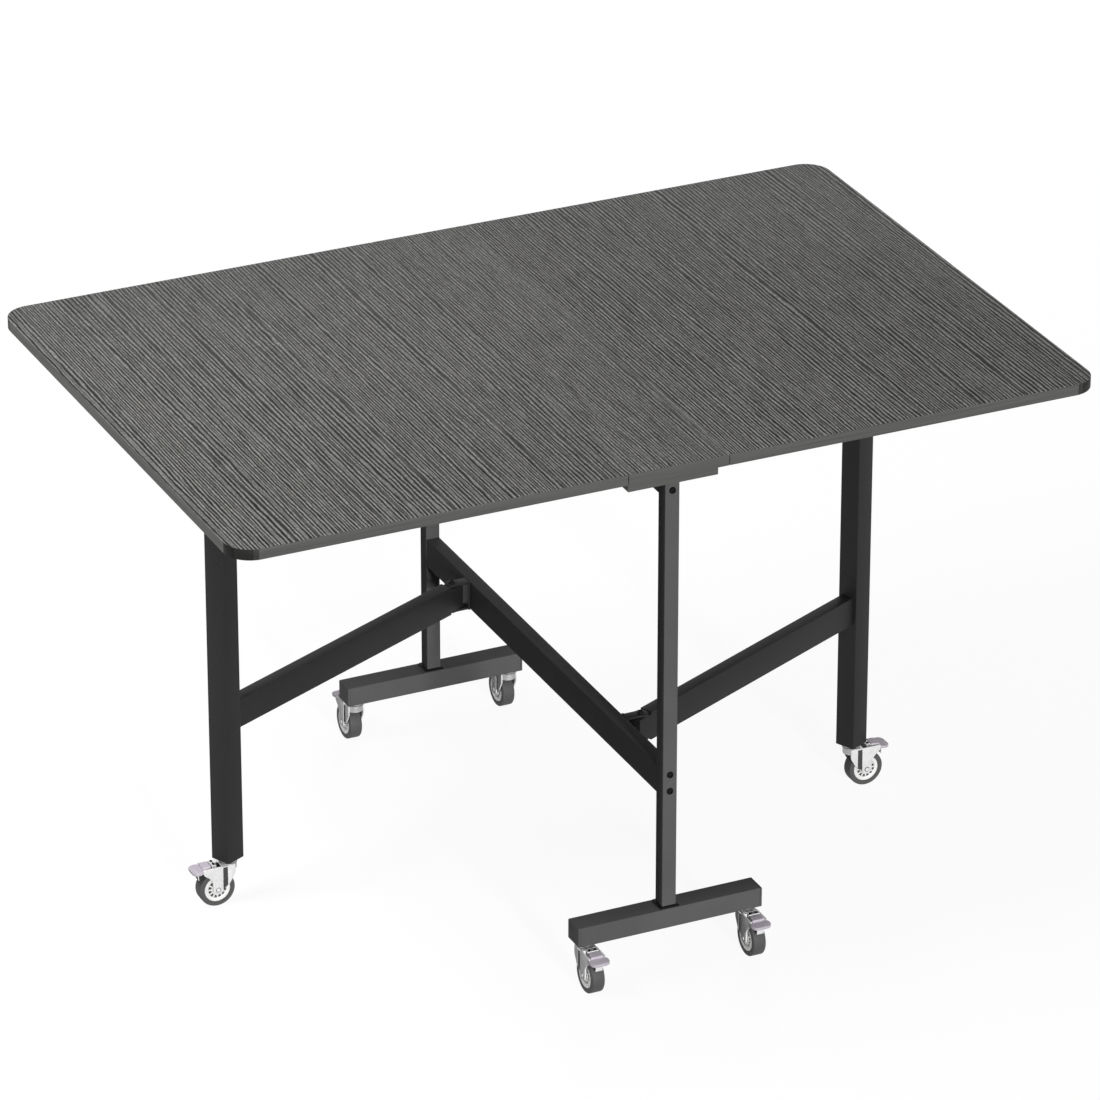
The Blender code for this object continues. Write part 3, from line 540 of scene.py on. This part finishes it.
def bracketForm():   # web on the stretcher's side with two tongues to the pivot
    back = gate["pivotX"] - stretcherHigh.x - bracket["gap"]
    neck, eye, plate = bracket["neck"], bracket["eye"], bracket["plate"]
    tongue = [(back, neck, 0), (bracket["neckEnd"], neck, bracket["neckRound"]),
              (bracket["eyeStart"], eye, bracket["neckRound"]),
              (-eye, eye * bracket["eyeFlat"], bracket["eyeRound"])]
    outline = tongue + [(x, -y, cut) for x, y, cut in reversed(tongue)]
    forms = [plateForm(outline, low, low + plate, bracket["soften"])
             for low in (stretcherLow.z, stretcherHigh.z - plate)]
    web = boxForm((back - plate, -bracket["web"], stretcherLow.z), (back, bracket["web"], stretcherHigh.z))
    roundEdges(web, web.edges, bracket["soften"], 1)
    return joined(*forms, web)


def pivotBoltForm():
    head = buttonHead(pivotBolt["head"], pivotBolt["height"], pivotBolt["socket"])
    nutMiddle = stretcherLow.z - pivotBolt["gap"] - pivotBolt["nutHeight"] / 2
    nut = bmesh.new()
    bmesh.ops.create_cone(nut, cap_ends=True, segments=6, radius1=pivotBolt["nut"], radius2=pivotBolt["nut"],
                          depth=pivotBolt["nutHeight"], matrix=shift(z=nutMiddle))
    nut.normal_update()
    roundEdges(nut, rimEdges(nut, axisZ), pivotBolt["nutRounding"])
    return joined(moved(head, shift(z=stretcherHigh.z + pivotBolt["gap"])), nut)


for side, pivot in gatePivots.items():
    body = f"{side}_gate"
    setPiece(f"{side}_arm_tube", moved(armForm(), pivot @ gateTurn), [blackCoat], body,
             [f"{side}_gate_arm"])
    setPiece(f"{side}_leg_tube", moved(legForm(), pivot @ gateTurn), [blackCoat], body,
             [f"{side}_gate_leg"])
    setPiece(f"{side}_bracket_plates", moved(bracketForm(), pivot), [blackCoat], "frame",
             [f"{side}_gate_bracket"])
    setPiece(f"{side}_pivot_screw", moved(pivotBoltForm(), pivot), [blackBolt], "frame",
             [f"{side}_pivot_bolt"])

leafRest = {
    "near": -0.0156, "lip": 0.012, "side": 0.025, "length": 0.090, "bottom": 0.6967, "top": 0.7147,
    "rounding": 0.0014, "segments": 4, "soften": 0.0008, "screwX": 0.033, "screwY": 0.004,
}


def restForm():   # block under a leaf that sits on the open leg, its lip stops the leg
    near, far, side = leafRest["near"], leafRest["near"] - leafRest["lip"], leafRest["side"]
    lipLow, bottom, top = leafRest["bottom"] - leafRest["lip"], leafRest["bottom"], leafRest["top"]
    start, end = gate["reach"] - leafRest["length"] / 2, gate["reach"] + leafRest["length"] / 2
    soft = leafRest["rounding"]
    outline = [(far, lipLow, soft), (near, lipLow, soft), (near, bottom, 0), (side, bottom, soft),
               (side, top, 0), (far, top, 0)]
    return moved(plateForm(outline, start, end, leafRest["soften"], leafRest["segments"]), alongX)


hinge = {   # screws in the leaf's plate and in the batten's, in rows along the seam
    "leafX": 0.088, "leafZ": 0.7132, "battenX": 0.0643, "battenZ": 0.7032, "screws": 8, "from": -0.322,
    "step": 0.092,
}
screw = {"head": 0.0034, "height": 0.0013, "slot": 0.0012, "steps": 20}
railScrews = (-0.30, -0.10, 0.10, 0.30)


def screwRow(places):
    heads = []
    for place in places:
        head = buttonHead(screw["head"], screw["height"], screw["slot"], screw["steps"])
        heads.append(moved(head, place))
    return joined(*heads)


rows = [hinge["from"] + hinge["step"] * number for number in range(hinge["screws"])]
leafScrews = [shift(hinge["leafX"], y, hinge["leafZ"]) @ upsideDown for y in rows]
battenScrews = [shift(hinge["battenX"], y, hinge["battenZ"]) @ alongX for y in rows]
for side, turn in (("left", halfTurn), ("right", Matrix.Identity(4))):
    for part in ("batten_hinge", "leaf_hinge", "hinge_pin"):
        nodes[f"{side}_{part}"].material_slots[0].material = hingeSteel
    onLeaf, onBatten = moved(screwRow(leafScrews), turn), moved(screwRow(battenScrews), turn)
    setPiece(f"{side}_leaf_screws", onLeaf, [hingeSteel], f"{side}_leaf")
    setPiece(f"{side}_batten_screws", onBatten, [hingeSteel], "frame")
restScrews = [shift(gate["reach"] + x, leafRest["screwY"], leafRest["bottom"]) @ upsideDown
              for x in (-leafRest["screwX"], leafRest["screwX"])]
for side, pivot in gatePivots.items():
    leaf, place = f"{side}_leaf", pivot @ gateTurn
    setPiece(f"{side}_rest_block", moved(restForm(), place), [woodUnder], leaf,
             [f"{side}_leaf_rest"])
    setPiece(f"{side}_rest_screws", moved(screwRow(restScrews), place), [blackBolt], leaf)
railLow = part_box("top_rail")[0].z
railPlaces = [shift(y=y, z=railLow) @ upsideDown for y in railScrews]
setPiece("rail_screws", screwRow(railPlaces), [blackBolt], "frame")
print("gates done")


# casters, drawn with the swivel on Z and trailing towards +X

caster = {"footX": 0.1155, "footY": 0.371, "trail": 0.019, "axleZ": 0.025, "pedalX": 0.034, "pedalZ": 0.0545}
fork = {   # walls are outlines of (x, z, cut), crown and race are spun from (radius, height)
    "panel": [(0.0115, 0.0583, 0.0010), (0.0118, 0.0186, 0.0060), (0.0260, 0.0186, 0.0060),
              (0.0263, 0.0365, 0.002), (0.0302, 0.0438, 0.004), (0.0394, 0.0508, 0.003),
              (0.0394, 0.0583, 0.0015)],
    "groove": [(0.0117, 0.0581, 0), (0.0117, 0.0246, 0), (0.0095, 0.0252, 0), (0.0047, 0.0287, 0),
               (0.0047, 0.0581, 0)],
    "wing": [(0.0049, 0.0583, 0.001), (0.0049, 0.0287, 0.001), (0.0009, 0.0335, 0.002),
             (-0.0059, 0.0458, 0.002), (-0.0059, 0.0583, 0.001)],
    "inside": 0.010, "panelFace": 0.012, "grooveFace": 0.0106, "wingFace": 0.0118, "soften": 0.0003,
    "roofLow": 0.0563, "roofHigh": 0.0583, "roofEnd": 0.013, "roofHalf": 0.0116,
    "crown": [(0, 0.0563), (0.0113, 0.0563), (0.0113, 0.0578), (0.0109, 0.0583), (0, 0.0583)],
    "race": [(0, 0.0584), (0.0118, 0.0584), (0.0124, 0.0588), (0.0124, 0.0602), (0.0106, 0.0606),
             (0.0106, 0.0613), (0.0126, 0.0616), (0.0130, 0.0620), (0.0130, 0.0637), (0.0126, 0.0641),
             (0, 0.0641)],
}
cup = {"radius": 0.0116, "wall": 0.0014, "low": 0.0508, "high": 0.0576, "back": -0.001, "segments": 64}
forkFinishes = [zincPlate, paintedShadeZinc, brightZinc, cupZinc]


def cupForm():   # half ring under the front of the roof
    form = bmesh.new()
    bmesh.ops.create_cone(form, cap_ends=False, segments=cup["segments"], radius1=cup["radius"],
                          radius2=cup["radius"], depth=cup["high"] - cup["low"],
                          matrix=shift(z=(cup["high"] + cup["low"]) / 2))
    bmesh.ops.bisect_plane(form, geom=form.verts[:] + form.edges[:] + form.faces[:],
                           plane_co=(cup["back"], 0, 0), plane_no=(1, 0, 0), clear_outer=True)
    bmesh.ops.recalc_face_normals(form, faces=form.faces)
    bmesh.ops.solidify(form, geom=form.faces[:], thickness=cup["wall"])
    return form


def forkForm():
    # the groove wall is near-black zinc, painted shade in the recess
    walls = ((fork["panel"], fork["panelFace"], fork["soften"], zincPlate),
             (fork["groove"], fork["grooveFace"], 0, paintedShadeZinc),
             (fork["wing"], fork["wingFace"], fork["soften"], zincPlate))
    forms = []
    for side in (-1, 1):
        for outline, face, soften, finish in walls:
            wall = tinted(plateForm(outline, fork["inside"], face, soften), forkFinishes.index(finish))
            forms.append(moved(wall, alongY, Matrix.Diagonal((1, side, 1, 1))))
    roof = boxForm((0, -fork["roofHalf"], fork["roofLow"]),
                   (fork["roofEnd"], fork["roofHalf"], fork["roofHigh"]))
    roundEdges(roof, roof.edges, fork["soften"], 1)
    for form, finish in ((roof, brightZinc), (spunForm(fork["crown"]), brightZinc), (cupForm(), cupZinc),
                         (spunForm(fork["race"]), cupZinc)):
        forms.append(tinted(form, forkFinishes.index(finish)))
    return joined(*forms)


yoke = {
    "from": 0.0196, "to": 0.0258, "half": 0.0078, "low": 0.0520, "high": 0.0612,
    "fold": 0.0016, "foldSegments": 4, "soften": 0.0003,
    "rivetX": 0.0226, "rivetY": 0.0042, "rivetHead": 0.0021, "rivetHeight": 0.0012, "rivetSocket": 0.0009,
    "rivetSteps": 20,
}
yokeFinishes = [brightZinc, blackBolt]


def yokeForm():   # folded brake yoke between the cheeks, behind the pedal
    block = boxForm((yoke["from"], -yoke["half"], yoke["low"]), (yoke["to"], yoke["half"], yoke["high"]))
    middle = (yoke["low"] + yoke["high"]) / 2
    folds = [e for e in edgesAlong(block, axisY) if e.verts[0].co.z > middle]
    roundEdges(block, folds, yoke["fold"], yoke["foldSegments"])
    roundEdges(block, rimEdges(block, axisY), yoke["soften"], 1)
    rivets = []
    for side in (-1, 1):
        rivet = buttonHead(yoke["rivetHead"], yoke["rivetHeight"], yoke["rivetSocket"], yoke["rivetSteps"])
        moved(rivet, shift(yoke["rivetX"], side * yoke["rivetY"], yoke["high"]))
        rivets.append(tinted(rivet, yokeFinishes.index(blackBolt)))
    return joined(block, *rivets)


tyre = {   # one side of the wheel, (radius, distance from its middle)
    "profile": [(0.0182, -0.0080), (0.0182, -0.0086), (0.0185, -0.0089), (0.0194, -0.0090), (0.0198, -0.0088),
                (0.0218, -0.0088), (0.0222, -0.0090), (0.0232, -0.0090), (0.0242, -0.0086), (0.0248, -0.0079),
                (0.0250, -0.0069)],
    "steps": 72,
}
rim = {
    "ring": [(0.0126, -0.0076), (0.0130, -0.0084), (0.0138, -0.0087), (0.0175, -0.0087), (0.0181, -0.0082)],
    "hub": [(0.0032, -0.0090), (0.0036, -0.0092), (0.0082, -0.0092), (0.0088, -0.0087), (0.0088, -0.0060)],
    "web": [(0.0086, -0.0066), (0.0128, -0.0066)], "steps": 60,
    "spokes": 12, "spokeFrom": 0.0085, "spokeTo": 0.0129, "spokeHalf": 0.00105, "spokeDepth": 0.0083,
    "soften": 0.0002,
}
rimFinishes = [paleNylon, paintedPocketShade]
axle = {
    "rivet": [(0, -0.0132), (0.0022, -0.0132), (0.0026, -0.0130), (0.0028, -0.0126), (0.0028, -0.0120)],
    "washer": [(0.0027, -0.0122), (0.0036, -0.0122), (0.0036, -0.0119), (0.0027, -0.0119)], "steps": 32,
}
axleFinishes = [zincPlate, paintedShadeZinc]


def otherSide(profile):
    return [(radius, -height) for radius, height in profile]


def bothSides(profile):   # a profile drawn for one side of the wheel, closed over to the other
    return profile + otherSide(reversed(profile))


def tyreForm():
    return moved(spunForm(bothSides(tyre["profile"]), tyre["steps"], closed=True), alongY)


def rimForm():
    forms = [spunForm(bothSides(rim[part]), rim["steps"], closed=True) for part in ("ring", "hub", "web")]
    # the web between the spokes is painted shade
    tinted(forms[-1], rimFinishes.index(paintedPocketShade))
    half, depth = rim["spokeHalf"], rim["spokeDepth"]
    for number in range(rim["spokes"]):
        spoke = boxForm((rim["spokeFrom"], -half, -depth), (rim["spokeTo"], half, depth))
        roundEdges(spoke, spoke.edges, rim["soften"], 1)
        forms.append(moved(spoke, Matrix.Rotation(math.tau * number / rim["spokes"], 4, "Z")))
    return moved(joined(*forms), alongY)


def axleForm():
    washers = []
    # the washers are near-black zinc, a ring of painted shade round the axle head
    for profile in (axle["washer"], otherSide(axle["washer"])):
        washer = spunForm(profile, axle["steps"], closed=True)
        washers.append(tinted(washer, axleFinishes.index(paintedShadeZinc)))
    return moved(joined(spunForm(bothSides(axle["rivet"]), axle["steps"]), *washers), alongY)


pedal = {
    "backLobe": [(-0.0074, -0.0074, 0.002), (0.0046, -0.0090, 0.001), (0.0046, 0.0090, 0.001),
                 (-0.0074, 0.0074, 0.002)],
    "frontLobe": [(0.0020, -0.0105, 0.002), (0.0080, -0.0135, 0.003), (0.0140, -0.0135, 0.004),
                  (0.0190, -0.0098, 0.004), (0.0190, 0.0098, 0.004), (0.0140, 0.0135, 0.004),
                  (0.0080, 0.0135, 0.003), (0.0020, 0.0105, 0.002)],
    "backTop": 0.0056, "frontTop": 0.0026, "under": -0.0012, "crown": 0.0010, "crownSegments": 4,
    "underRound": 0.0005, "tongueFrom": 0.0098, "tongueTo": 0.0113, "tongueHalf": 0.0050,
    "tongueLow": -0.0126, "tongueHigh": -0.001, "soften": 0.0003,
    "pin": 0.0020, "pinReach": 0.0122, "pinSteps": 20,
    "slope": 4.3,   # degrees
}
pedalFinishes = [lavenderNylon, zincPlate]


def lobeForm(corners, top):
    lobe = plateForm(corners, pedal["under"], top)
    roundEdges(lobe, rimEdges(lobe, axisZ, 1), pedal["crown"], pedal["crownSegments"])
    roundEdges(lobe, rimEdges(lobe, axisZ, -1), pedal["underRound"])
    return lobe


def pedalForm():   # two lobes with a steel tongue that presses on the tyre, on a pin through the cheeks
    tongue = boxForm((pedal["tongueFrom"], -pedal["tongueHalf"], pedal["tongueLow"]),
                     (pedal["tongueTo"], pedal["tongueHalf"], pedal["tongueHigh"]))
    roundEdges(tongue, tongue.edges, pedal["soften"], 1)
    radius, reach = pedal["pin"], pedal["pinReach"]
    pin = spunForm([(0, -reach), (radius, -reach), (radius, reach), (0, reach)], pedal["pinSteps"])
    steel = [tinted(form, pedalFinishes.index(zincPlate)) for form in (tongue, moved(pin, alongY))]
    back = lobeForm(pedal["backLobe"], pedal["backTop"])
    front = lobeForm(pedal["frontLobe"], pedal["frontTop"])
    return moved(joined(back, front, *steel), Matrix.Rotation(math.radians(pedal["slope"]), 4, "Y"))


casterPlaces = {   # x, y and heading in degrees
    f"{row}_{side}": (sideSign * caster["footX"], rowSign * caster["footY"], rowSign * 90)
    for row, rowSign in (("front", -1), ("rear", 1)) for side, sideSign in (("left", -1), ("right", 1))
}
for side, heading in (("left", 180), ("right", 0)):
    foot = gatePivots[side] @ gateTurn @ Vector((gate["reach"], 0, 0))
    casterPlaces[f"{side}_gate"] = (foot.x, foot.y, heading)

for name, (x, y, heading) in casterPlaces.items():
    place = shift(x, y) @ Matrix.Rotation(math.radians(heading), 4, "Z")
    wheelPlace = place @ shift(x=caster["trail"], z=caster["axleZ"])
    pedalPlace = place @ shift(x=caster["pedalX"], z=caster["pedalZ"])
    holder, wheel, brake = f"{name}_caster", f"{name}_wheel", f"{name}_brake"
    setPiece(f"{name}_fork_pressing", moved(forkForm(), place), forkFinishes, holder,
             [f"{name}_fork"])
    setPiece(f"{name}_brake_yoke", moved(yokeForm(), place), yokeFinishes, holder)
    setPiece(f"{name}_axle_rivet", moved(axleForm(), wheelPlace), axleFinishes, holder,
             [f"{name}_axle"])
    setPiece(f"{name}_tyre_ring", moved(tyreForm(), wheelPlace), [tyreRubber], wheel,
             [f"{name}_tyre"])
    setPiece(f"{name}_rim_spokes", moved(rimForm(), wheelPlace), rimFinishes, wheel,
             [f"{name}_rim"])
    setPiece(f"{name}_brake_pedal", moved(pedalForm(), pedalPlace), pedalFinishes, brake,
             [f"{name}_pedal"])
print("casters done")


# studio: floor, world, lamps and camera

studio = {
    "ambient": 0.11, "floorSize": 14, "floorShare": 0.09, "floorTone": 0.06,
    "shadeLevel": 0.85,   # how far the lamps light the floor, taken off its glow
    "aim": (0, 0, 0.4),
}
scene = bpy.context.scene


def showWhite(tree):   # 1 for rays that should see a white surround
    path = addNode(tree, "ShaderNodeLightPath").outputs
    seen = reckoned(tree, "MAXIMUM", path["Is Camera Ray"], path["Is Glossy Ray"])
    return reckoned(tree, "MAXIMUM", seen, path["Is Transmission Ray"])


world = bpy.data.worlds.new("studio_world")
scene.world = world
world.use_nodes = True
worldTree = world.node_tree
background = worldTree.nodes["Background"]
background.inputs["Color"].default_value = (1, 1, 1, 1)
strength = ranged(worldTree, showWhite(worldTree), studio["ambient"], 1.0)
worldTree.links.new(strength, background.inputs["Strength"])

floorForm = bmesh.new()
bmesh.ops.create_grid(floorForm, x_segments=1, y_segments=1, size=studio["floorSize"])
floorMesh = bpy.data.meshes.new("studio_floor")
floorForm.to_mesh(floorMesh)
floorForm.free()
floor = bpy.data.objects.new("studio_floor", floorMesh)
scene.collection.objects.link(floor)
floorFinish = bpy.data.materials.new("pale_floor")
floorFinish.use_nodes = True
floorTree = floorFinish.node_tree
floorTree.nodes.remove(floorTree.nodes["Principled BSDF"])
share, tone = studio["floorShare"], studio["floorTone"]
matt = addNode(floorTree, "ShaderNodeBsdfDiffuse", {"Color": (tone, tone, tone, 1)}).outputs[0]
faint = addNode(floorTree, "ShaderNodeBsdfDiffuse", {"Color": (share, share, share, 1)}).outputs[0]
glowLevel = 1 - studio["shadeLevel"] * share
glow = addNode(floorTree, "ShaderNodeEmission", {"Color": (1, 1, 1, 1), "Strength": glowLevel}).outputs[0]
bright = addNode(floorTree, "ShaderNodeAddShader", {0: faint, 1: glow}).outputs[0]
choice = addNode(floorTree, "ShaderNodeMixShader", {0: showWhite(floorTree), 1: matt, 2: bright}).outputs[0]
floorTree.links.new(choice, floorTree.nodes["Material Output"].inputs["Surface"])
floorMesh.materials.append(floorFinish)

# distant soft key in front, angles in degrees
key = {"fromLeft": 2.2, "elevation": 12.0, "spread": 7.0, "level": 0.935}
keyLight = bpy.data.lights.new("front_key", "SUN")
keyLight.angle = math.radians(key["spread"])
keyLight.energy = key["level"] * math.pi
keyLamp = bpy.data.objects.new("front_key", keyLight)
keyLamp.rotation_euler = (math.radians(90 - key["elevation"]), 0, math.radians(-key["fromLeft"]))
scene.collection.objects.link(keyLamp)

lamps = {   # the fill leaves no glare on the top
    "left_softbox": {"place": (-1.9, 0.0, 2.75), "size": 1.0, "level": 0.75, "glare": True},
    "rear_fill": {"place": (2.2, 4.0, 1.05), "size": 1.4, "level": 0.45, "glare": False},
}
for name, lamp in lamps.items():
    light = bpy.data.lights.new(name, "AREA")
    light.size = lamp["size"]
    aim = Vector(studio["aim"]) - Vector(lamp["place"])
    light.energy = lamp["level"] * math.pi ** 2 * aim.length_squared
    softbox = bpy.data.objects.new(name, light)
    softbox.location = lamp["place"]
    softbox.rotation_euler = aim.to_track_quat("-Z", "Y").to_euler()
    softbox.visible_glossy = lamp["glare"]
    scene.collection.objects.link(softbox)

view = {"place": (-3.3869, -7.2932, 4.3615), "azimuth": -24.97, "elevation": 26.03, "lens": 223.06,
        "sensor": 36, "shiftX": -0.00068, "shiftY": 0.00018, "farthest": 100}
cameraData = bpy.data.cameras.new("photo_camera")
cameraData.lens = view["lens"]
cameraData.shift_x = view["shiftX"]
cameraData.shift_y = view["shiftY"]
cameraData.sensor_width = view["sensor"]
cameraData.clip_end = view["farthest"]
camera = bpy.data.objects.new("photo_camera", cameraData)
camera.location = view["place"]
camera.rotation_euler = (math.radians(90 - view["elevation"]), 0, math.radians(view["azimuth"]))
scene.collection.objects.link(camera)
scene.camera = camera
scene.view_settings.view_transform = "Standard"
print("studio ready")
